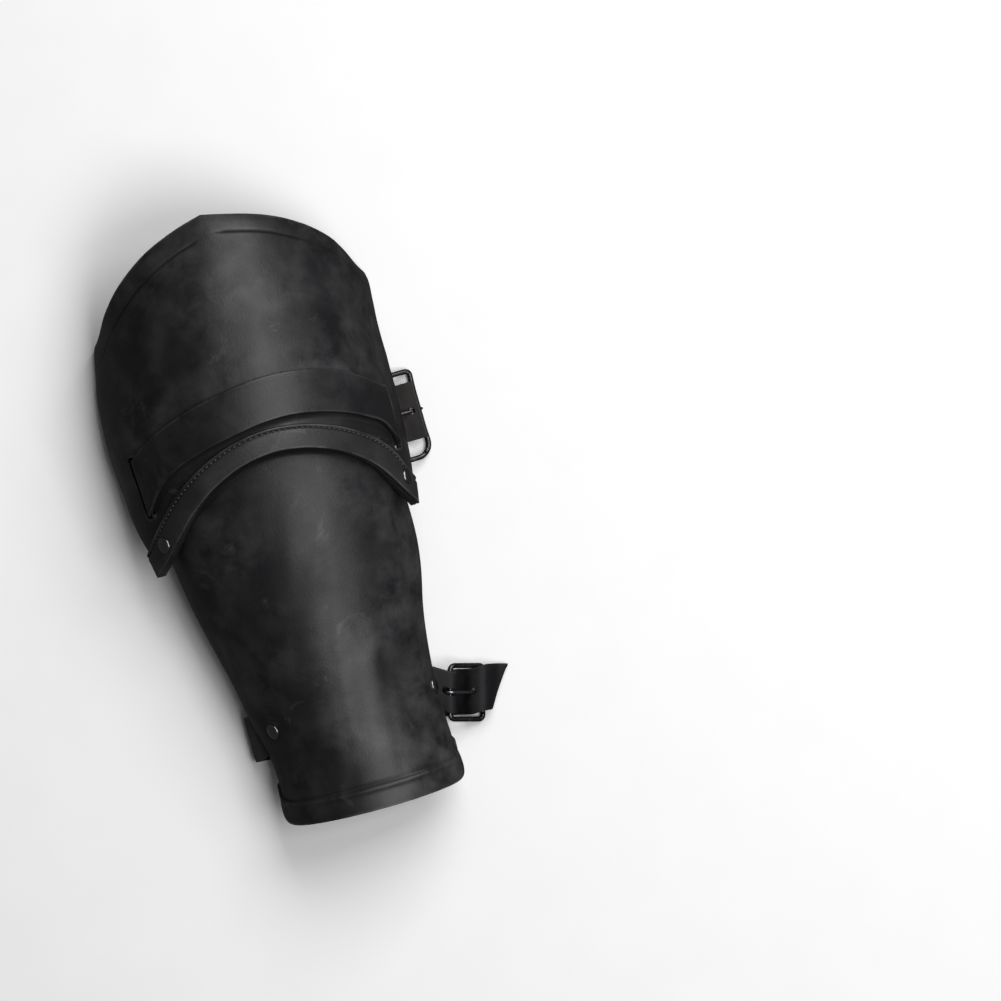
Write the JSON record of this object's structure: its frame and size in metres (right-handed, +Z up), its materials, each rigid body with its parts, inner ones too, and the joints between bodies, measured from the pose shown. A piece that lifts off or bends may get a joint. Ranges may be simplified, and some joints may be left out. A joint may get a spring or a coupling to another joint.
{
  "type": "leather arm bracer",
  "caption": "Black leather arm bracer: a tapered forearm plate under a dished, peaked elbow plate, closed round the arm by two buckled straps.",
  "frame": {"origin": "centre of the bounding box's bottom, on the floor the bracer lies on", "axes": "+Z up through the ridge of the plates, +Y along the arm from the wrist to the elbow, +X to the side with the buckles"},
  "size_m": [0.1632, 0.31, 0.0879],
  "materials": {
    "black_leather": "worn satin",
    "trim_leather": "worn satin",
    "strap_leather": "satin",
    "black_metal": "satin black",
    "bright_metal": "polished"
  },
  "bodies": {
    "root": {"elbow_plate": "black_leather", "arch_trim": "trim_leather", "forearm_plate": "black_leather", "elbow_strap": "strap_leather", "wrist_strap": "strap_leather", "wrist_chape": "strap_leather", "elbow_frame": "black_metal", "elbow_prong": "bright_metal", "wrist_frame": "black_metal", "wrist_prong": "bright_metal", "ear_rivet_left": "bright_metal", "ear_rivet_right": "bright_metal", "wrist_rivet_left": "bright_metal", "wrist_rivet_right": "bright_metal"}
  },
  "joints": []
}
